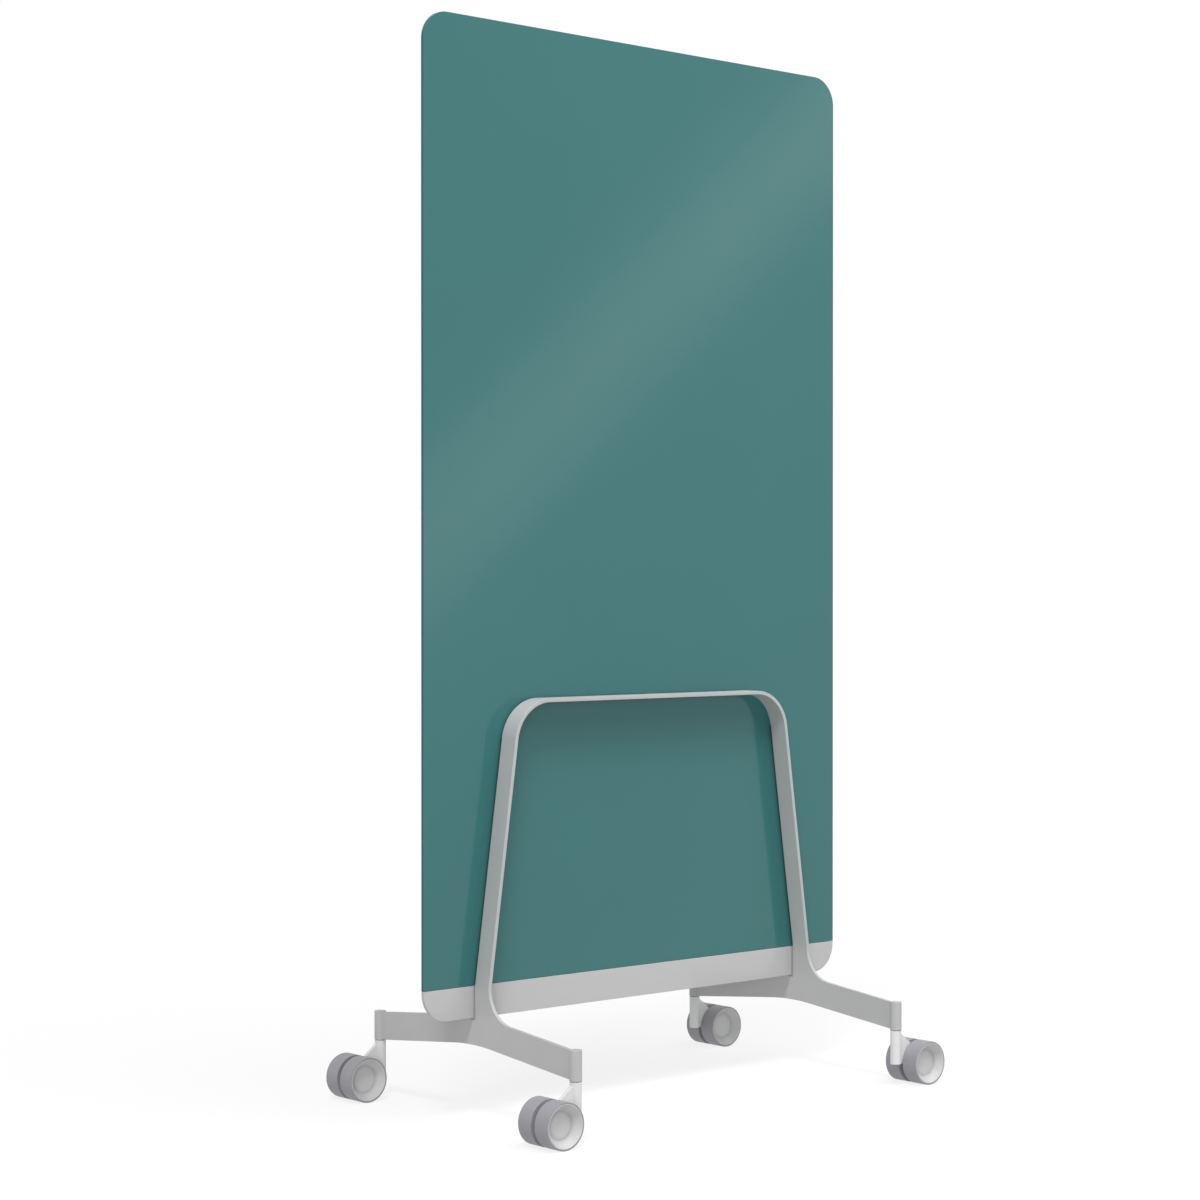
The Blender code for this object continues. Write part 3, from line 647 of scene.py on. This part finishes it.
def side_plate_outline():
    """Leg, front arm and rear arm in Y and Z, with the notch that the board stands in."""
    hoop_low, hoop_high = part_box("hoop_band")
    front, rear = hoop_low.y, hoop_high.y
    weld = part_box("side_plate_right")[1].z
    rail_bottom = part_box("rail_front")[0].z
    peak, floor = rail_bottom + RAIL_LAP, rail_bottom - NOTCH_DEPTH
    reach = ARM_END_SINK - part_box("caster_sleeve_front_right")[1].y
    fall = math.tan(ARM_FALL)

    def top(distance):
        """Height of the arms' top line at a distance from the board's middle."""
        return peak - distance * fall

    points = [(-rear, top(-rear)), (-rear, floor), (rear, floor), (rear, weld), (front, weld)]
    fillet_rise = ARM_FILLET / math.tan((math.pi / 2 + ARM_FALL) / 2)
    fillet_centre = (front - ARM_FILLET, top(-front) + fillet_rise)
    points += arc(fillet_centre, ARM_FILLET, 0.0, ARM_FALL - math.pi / 2, BEND_STEPS)
    points += [(-reach, top(reach)), (-reach, top(reach) - ARM_HEIGHT)]
    under_centre = (0.0, peak - ARM_HEIGHT - UNDERSIDE_RADIUS / math.cos(ARM_FALL))
    points += arc(under_centre, UNDERSIDE_RADIUS, math.pi / 2 + ARM_FALL,
                  math.pi / 2 - ARM_FALL, BEND_STEPS)
    return points + [(reach, top(reach) - ARM_HEIGHT), (reach, top(reach))]


def make_frame(paint):
    """Hoop and side plates as one welded and coated piece."""
    hoop_low, hoop_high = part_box("hoop_band")
    hoop = prism("frame_weldment", hoop_outline(), hoop_high.y - hoop_low.y, FACING_FRONT)
    hoop.transform(Matrix.Translation((0.0, (hoop_low.y + hoop_high.y) / 2, 0.0)))
    plates = []
    for side, _ in SIDES:
        low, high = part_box(f"side_plate_{side}")
        plate = prism(f"plate_{side}", side_plate_outline(), high.x - low.x, FACING_SIDE)
        plate.transform(Matrix.Translation(((low.x + high.x) / 2, 0.0, 0.0)))
        plates.append(plate)
    mesh = edged(combined(hoop, plates, "UNION"), BAR_EDGE)
    mesh = shaded(combined(mesh, screw_holes(), "DIFFERENCE"))
    add_piece("frame_weldment", mesh, [paint], BOARD_BODY,
              ["hoop_band", "side_plate_left", "side_plate_right"])


def sleeve_profile(low, high):
    """Closed-top tube, from the middle of its top round to the middle of its bore's end."""
    radius = (high.x - low.x) / 2
    height = high.z - low.z
    bore = radius - SLEEVE_WALL
    corners = [(0.0, height, 0.0), (radius, height, SLEEVE_EDGE), (radius, 0.0, SLEEVE_EDGE / 2),
               (bore, 0.0, SLEEVE_EDGE / 2), (bore, height - SLEEVE_CROWN, 0.0),
               (0.0, height - SLEEVE_CROWN, 0.0)]
    return rounded(corners, ROUND_STEPS)


def bush_profile(low, high):
    """Plain tube, open at both ends, with the stem in its bore."""
    radius = (high.x - low.x) / 2
    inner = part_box("caster_stem_front_left")
    bore = (inner[1].x - inner[0].x) / 2 + FIT
    height = high.z - low.z
    return rounded([(bore, height, 0.0), (radius, height, BUSH_EDGE), (radius, 0.0, BUSH_EDGE),
                    (bore, 0.0, BUSH_EDGE)], EDGE_STEPS)


def stem_profile(low, high):
    """Round bar with a thinner pintle below its shoulder."""
    radius = (high.x - low.x) / 2
    height = high.z - low.z
    return rounded([(0.0, height, 0.0), (radius, height, STEM_EDGE),
                    (radius, PINTLE_LENGTH, 0.0), (PINTLE_RADIUS, PINTLE_LENGTH, 0.0),
                    (PINTLE_RADIUS, 0.0, STEM_EDGE), (0.0, 0.0, 0.0)], ROUND_STEPS)


def washer_profile(low, high):
    """Flat ring round the pintle, its edges rounded by a quarter of its height."""
    radius = (high.x - low.x) / 2
    height = high.z - low.z
    bore = PINTLE_RADIUS + FIT
    edge = height / 4
    return rounded([(bore, height, edge), (radius, height, edge),
                    (radius, 0.0, edge), (bore, 0.0, edge)], WASHER_STEPS)


def make_caster_mounts(paint, nylon, steel):
    """At each arm's end: the sleeve, and the bush, stem and washer in and under it."""
    kinds = (("caster_sleeve", "sleeve_tube", sleeve_profile, paint, "frame_paint", ROUND_SIDES),
             ("stem_bush", "bush_liner", bush_profile, nylon, "grey_nylon", PIN_SIDES),
             ("caster_stem", "stem_pin", stem_profile, steel, "bright_steel", PIN_SIDES),
             ("thrust_washer", "washer_ring", washer_profile, nylon, "grey_nylon", PIN_SIDES))
    for kind, label, profile, finish, slot, sides in kinds:
        low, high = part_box(f"{kind}_front_left")
        mesh = shaded(lathe(label, profile(low, high), sides))
        for end, _ in ENDS:
            for side, _ in SIDES:
                node = f"{kind}_{end}_{side}"
                middle = centre_of(node)
                add_piece(f"{label}_{end}_{side}", mesh, [finish], BOARD_BODY, [node],
                          (middle.x, middle.y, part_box(node)[0].z))


def tangent_angle(rise, trail, below):
    """Direction from the boss's middle to where a line from the housing's axis touches the boss."""
    swing = math.acos(BOSS_RADIUS / math.hypot(trail, rise))
    toward = math.atan2(rise, trail)
    return toward - swing if below else toward + swing


def web_side_outline(top, foot, trail):
    """The web in X and Z, from within the housing's wall to the boss at height zero.

    It stays clear of the pintle's bore, which the housing is turned with.
    """
    root = PINTLE_RADIUS + FIT + WEB_ROOT_WALL
    upper, lower = tangent_angle(top, trail, False), tangent_angle(foot, trail, True)
    boss = arc((-trail, 0.0), BOSS_RADIUS, upper, lower + math.tau, ROUND_SIDES)
    return [(-root, foot), (-root, top)] + boss


def web_plan_outline(radius, reach):
    """The web from above, flaring into the round housing, which it starts inside."""
    half = WEB_THICKNESS / 2
    spread = radius + WEB_FILLET - WEB_SINK
    meet = math.asin((half + WEB_FILLET) / spread)
    along = spread * math.cos(meet)
    upper = arc((-along, half + WEB_FILLET), WEB_FILLET, -meet, -math.pi / 2, EDGE_STEPS * 2)
    side = [(0.0, half)] + upper + [(-reach, half)]
    return side + [(x, -y) for x, y in reversed(side)]


def make_yokes(white):
    """The swivelling castings: an upright round housing and a web out to the axle."""
    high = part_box("caster_yoke_front_left")[1]
    axis, axle = centre_of("thrust_washer_front_left"), centre_of("wheel_axle_front_left")
    radius, top, trail = high.x - axis.x, high.z - axle.z, axis.x - axle.x
    reach = trail + 2 * BOSS_RADIUS
    side = web_side_outline(top - WEB_DROP, WEB_FOOT_RISE, trail)
    web = prism("web", side, 2 * radius + WEB_FILLET, FACING_FRONT)
    plan = prism("web_plan", web_plan_outline(radius, reach), 4 * top)
    web = edged(combined(web, [plan], "INTERSECT"), YOKE_EDGE)
    bore = PINTLE_RADIUS + FIT
    bore_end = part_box("caster_stem_front_left")[0].z - axle.z - FIT
    profile = rounded([(0.0, bore_end, 0.0), (bore, bore_end, 0.0), (bore, top, 0.0),
                       (radius, top, YOKE_EDGE), (radius, 0.0, YOKE_EDGE), (0.0, 0.0, 0.0)],
                      ROUND_STEPS)
    housing = lathe("yoke_casting", profile, ROUND_SIDES)
    half, hole = WEB_THICKNESS / 2 + OVERRUN, AXLE_RADIUS + FIT
    axle_bore = lathe("axle_bore", [(0.0, half), (hole, half), (hole, -half), (0.0, -half)],
                      PIN_SIDES)
    axle_bore.transform(Matrix.Translation((-trail, 0.0, 0.0)) @ FACING_FRONT)
    mesh = shaded(combined(combined(housing, [web], "UNION"), [axle_bore], "DIFFERENCE"))
    for end, _ in ENDS:
        for side, direction in SIDES:
            spot = f"{end}_{side}"
            axis = centre_of(f"thrust_washer_{spot}")
            facing = 0.0 if direction < 0 else math.pi
            add_piece(f"yoke_casting_{spot}", mesh, [white], f"caster_{spot}",
                      [f"caster_yoke_{spot}"], (axis.x, axis.y, axle.z), (0.0, 0.0, facing))


def axle_profile(low, high):
    """Plain pin with rounded ends, about its own middle."""
    radius, half = (high.x - low.x) / 2, (high.y - low.y) / 2
    return rounded([(0.0, half, 0.0), (radius, half, AXLE_EDGE), (radius, -half, AXLE_EDGE),
                    (0.0, -half, 0.0)], EDGE_STEPS)


def hub_profile(low, high, middle):
    """Hub from its disc out over the bowl and rim and back to its blind bore; outboard is up."""
    radius, face = (high.x - low.x) / 2, middle - low.y
    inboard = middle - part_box("tyre_front_left_front")[1].y + TYRE_WALL
    disc, rim = face - BOWL_DEPTH, radius - BOWL_RIM
    back, boss_end = disc - HUB_WEB, middle - high.y
    bore = AXLE_RADIUS + FIT
    wall = hollow_arc((DISC_RADIUS, disc), (rim, face), BOWL_TURN, BOWL_STEPS)
    bowl = [(0.0, disc, 0.0), (*wall[0], DISC_FILLET)] + [(*point, 0.0) for point in wall[1:-1]]
    bowl += [(*wall[-1], BOWL_LIP), (radius, face, HUB_EDGE)]
    inside, corner, bore_end = radius - HUB_RIM_WALL, HUB_RIM_WALL / 2, disc - HUB_END_WALL
    shell = [(radius, inboard, HUB_EDGE), (inside, inboard, HUB_EDGE),
             (inside, back, corner), (HUB_BOSS_RADIUS, back, corner),
             (HUB_BOSS_RADIUS, boss_end, HUB_EDGE), (bore, boss_end, HUB_EDGE),
             (bore, bore_end, 0.0), (0.0, bore_end, 0.0)]
    return rounded(bowl + shell, EDGE_STEPS)


def tyre_profile(low, high, middle):
    """Thin tyre that wraps round the hub's inboard edge, a closed ring section; outboard is up."""
    radius, outer, inner = (high.x - low.x) / 2, middle - low.y, middle - high.y
    bore, lip = radius - TYRE_THICKNESS, radius - TYRE_WALL_REACH
    return rounded([(bore, outer, 0.0), (radius, outer, TREAD_ROUND), (radius, inner, TREAD_ROUND),
                    (lip, inner, TREAD_ROUND), (lip, inner + TYRE_WALL, 0.0),
                    (bore, inner + TYRE_WALL, 0.0)], ROUND_STEPS)


def make_wheels(white, grey, steel):
    """The twin wheels of each caster, each a hub in its tyre, and the axle they roll on."""
    middle = centre_of("wheel_axle_front_left").y
    pin_section = axle_profile(*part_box("wheel_axle_front_left"))
    hub_section = hub_profile(*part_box("wheel_hub_front_left_front"), middle)
    tyre_section = tyre_profile(*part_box("tyre_front_left_front"), middle)
    axle = shaded(lathe("axle_pin", pin_section, PIN_SIDES))
    hub = shaded(lathe("hub_shell", hub_section, ROUND_SIDES))
    tyre = shaded(lathe("tyre_ring", tyre_section, ROUND_SIDES))
    for end, _ in ENDS:
        for side, _ in SIDES:
            spot = f"{end}_{side}"
            place = centre_of(f"wheel_axle_{spot}")
            add_piece(f"axle_pin_{spot}", axle, [steel], f"caster_{spot}",
                      [f"wheel_axle_{spot}"], place, (math.pi / 2, 0.0, 0.0))
            for facing, direction in ENDS:
                turn = (-direction * math.pi / 2, 0.0, 0.0)
                body = f"wheel_{spot}_{facing}"
                add_piece(f"hub_shell_{spot}_{facing}", hub, [white], body,
                          [f"wheel_hub_{spot}_{facing}"], place, turn)
                add_piece(f"tyre_ring_{spot}_{facing}", tyre, [grey], body,
                          [f"tyre_{spot}_{facing}"], place, turn)


def finish_kept_nodes(steel, nylon, tape):
    """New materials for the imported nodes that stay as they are."""
    kept = (("magnetic_steel_sheet", steel),
            ("panel_seat_left", nylon), ("panel_seat_right", nylon),
            ("bond_strip_left", tape), ("bond_strip_right", tape), ("bond_strip_top", tape))
    for node, finish in kept:
        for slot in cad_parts[node].material_slots:
            slot.material = finish


def stage_floor():
    """A wide floor: white to the camera apart from the object's shadow, an even glow to the rest.

    The shadow fades out to plain white away from the object.
    """
    shape = bmesh.new()
    bmesh.ops.create_grid(shape, x_segments=1, y_segments=1, size=FLOOR_SIZE / 2)
    mesh = shape_to_mesh(shape, "studio_floor")
    floor = stand_in(mesh)
    nodes = Nodes("studio_floor")
    nodes.shader.inputs["Roughness"].default_value = FLOOR_ROUGHNESS
    nodes.shader.inputs["Specular IOR Level"].default_value = 0.0
    path = nodes.add("ShaderNodeLightPath")
    seen = nodes.add("ShaderNodeMath", operation="MAXIMUM")
    nodes.link(path.outputs["Is Camera Ray"], seen.inputs[0])
    nodes.link(path.outputs["Is Glossy Ray"], seen.inputs[1])
    colour = nodes.blend(seen.outputs[0], FLOOR_BOUNCE, FLOOR_COLOUR)
    nodes.link(colour, nodes.shader.inputs["Base Color"])
    away = nodes.add("ShaderNodeVectorMath", operation="LENGTH")
    nodes.link(nodes.coordinates(), away.inputs[0])
    white = nodes.spread(away.outputs["Value"], FLOOR_WHITE_SHARE, 1.0,
                         FLOOR_SHADOW_REACH, FLOOR_FADE_END)
    share = nodes.add("ShaderNodeMix", data_type="FLOAT")
    share.inputs["A"].default_value = FLOOR_GLOW_SHARE
    nodes.link(seen.outputs[0], share.inputs["Factor"])
    nodes.link(white, share.inputs["B"])
    glow = nodes.add("ShaderNodeEmission")
    mix = nodes.add("ShaderNodeMixShader")
    nodes.link(share.outputs["Result"], mix.inputs[0])
    nodes.link(nodes.shader.outputs[0], mix.inputs[1])
    nodes.link(glow.outputs[0], mix.inputs[2])
    nodes.link(mix.outputs[0], nodes.tree.nodes["Material Output"].inputs["Surface"])
    mesh.materials.append(nodes.material)


def light_world():
    """White surroundings to the camera and in reflections, and a softer light on the object."""
    world = bpy.data.worlds.new("studio")
    bpy.context.scene.world = world
    world.use_nodes = True
    tree = world.node_tree
    tree.nodes.clear()
    path = tree.nodes.new("ShaderNodeLightPath")
    shown = path.outputs["Is Camera Ray"]
    for ray in ("Is Glossy Ray", "Is Transmission Ray"):
        either = tree.nodes.new("ShaderNodeMath")
        either.operation = "MAXIMUM"
        tree.links.new(shown, either.inputs[0])
        tree.links.new(path.outputs[ray], either.inputs[1])
        shown = either.outputs[0]
    mix = tree.nodes.new("ShaderNodeMixShader")
    tree.links.new(shown, mix.inputs[0])
    for strength, socket in ((SKY_STRENGTH, mix.inputs[1]), (1.0, mix.inputs[2])):
        light = tree.nodes.new("ShaderNodeBackground")
        light.inputs["Color"].default_value = (1.0, 1.0, 1.0, 1.0)
        light.inputs["Strength"].default_value = strength
        tree.links.new(light.outputs[0], socket)
    output = tree.nodes.new("ShaderNodeOutputWorld")
    tree.links.new(mix.outputs[0], output.inputs["Surface"])


def light_lamps():
    """Soft round lamps in front: a key high on the left, a fill high on the right, a low one."""
    middle = (Vector(CAD_BOX[0]) + Vector(CAD_BOX[1])) / 2
    for name, strength, side, height, spread, distance in LAMPS:
        lamp = bpy.data.lights.new(name, "AREA")
        lamp.shape = "DISK"
        lamp.size = 2 * distance * math.tan(math.radians(spread) / 2)
        lamp.energy = strength * (math.pi * distance) ** 2
        holder = bpy.data.objects.new(name, lamp)
        bpy.context.scene.collection.objects.link(holder)
        level = Vector((math.sin(math.radians(side)), -math.cos(math.radians(side)), 0.0))
        toward = level * math.cos(math.radians(height))
        toward.z = math.sin(math.radians(height))
        holder.location = middle + toward * distance
        holder.rotation_euler = toward.to_track_quat("Z", "Y").to_euler()
        holder.visible_camera = False
        holder.visible_glossy = False


def stage_streak():
    """A long soft strip of light that only reflections show: the pale band across the glass."""
    start, end = Vector(STREAK_START), Vector(STREAK_END)
    along = (end - start).normalized()
    facing = Vector((0.0, 1.0, 0.0))
    across = facing.cross(along)
    shape = bmesh.new()
    bmesh.ops.create_grid(shape, x_segments=1, y_segments=1, size=STREAK_HALF)
    mesh = shape_to_mesh(shape, "soft_strip")
    strip = stand_in(mesh)
    turn = Matrix((along, across, facing)).transposed().to_4x4()
    size = Matrix.Diagonal((STREAK_LENGTH, STREAK_WIDTH, 1.0, 1.0))
    strip.matrix_world = Matrix.Translation((start + end) / 2) @ turn @ size
    nodes = Nodes("soft_strip")
    place = nodes.add("ShaderNodeTexCoord")
    split = nodes.add("ShaderNodeSeparateXYZ")
    nodes.link(place.outputs["Object"], split.inputs[0])
    side = nodes.add("ShaderNodeMath", operation="ABSOLUTE")
    nodes.link(split.outputs["Y"], side.inputs[0])
    fade = nodes.add("ShaderNodeMapRange", interpolation_type="SMOOTHSTEP")
    for socket, value in (("From Min", STREAK_HALF), ("From Max", 0.0),
                          ("To Min", 0.0), ("To Max", STREAK_STRENGTH)):
        fade.inputs[socket].default_value = value
    nodes.link(side.outputs[0], fade.inputs["Value"])
    glow = nodes.add("ShaderNodeEmission")
    nodes.link(fade.outputs["Result"], glow.inputs["Strength"])
    clear = nodes.add("ShaderNodeBsdfTransparent")
    both = nodes.add("ShaderNodeAddShader")
    nodes.link(glow.outputs[0], both.inputs[0])
    nodes.link(clear.outputs[0], both.inputs[1])
    nodes.link(both.outputs[0], nodes.tree.nodes["Material Output"].inputs["Surface"])
    nodes.tree.nodes.remove(nodes.shader)
    mesh.materials.append(nodes.material)
    for kind in ("camera", "diffuse", "transmission", "volume_scatter", "shadow"):
        setattr(strip, f"visible_{kind}", False)


def place_camera():
    """The photograph's camera, and the plain view transform."""
    lens = bpy.data.cameras.new("camera")
    lens.lens = CAMERA_LENS
    lens.sensor_width = CAMERA_SENSOR
    camera = bpy.data.objects.new("camera", lens)
    bpy.context.scene.collection.objects.link(camera)
    camera.location = CAMERA_PLACE
    camera.rotation_euler = (math.pi / 2 + CAMERA_PITCH, 0.0, CAMERA_YAW)
    bpy.context.scene.camera = camera
    bpy.context.scene.view_settings.view_transform = "Standard"


PAINT, NYLON, STEEL = frame_paint(), grey_nylon(), bright_steel()
make_board(painted_glass(), glass_edge(), rail_silver())
make_screws(STEEL)
make_frame(PAINT)
make_caster_mounts(PAINT, NYLON, STEEL)
make_yokes(caster_white())
make_wheels(hub_white(), tyre_grey(), STEEL)
finish_kept_nodes(sheet_steel(), NYLON, clear_tape())
stage_floor()
light_world()
light_lamps()
stage_streak()
place_camera()
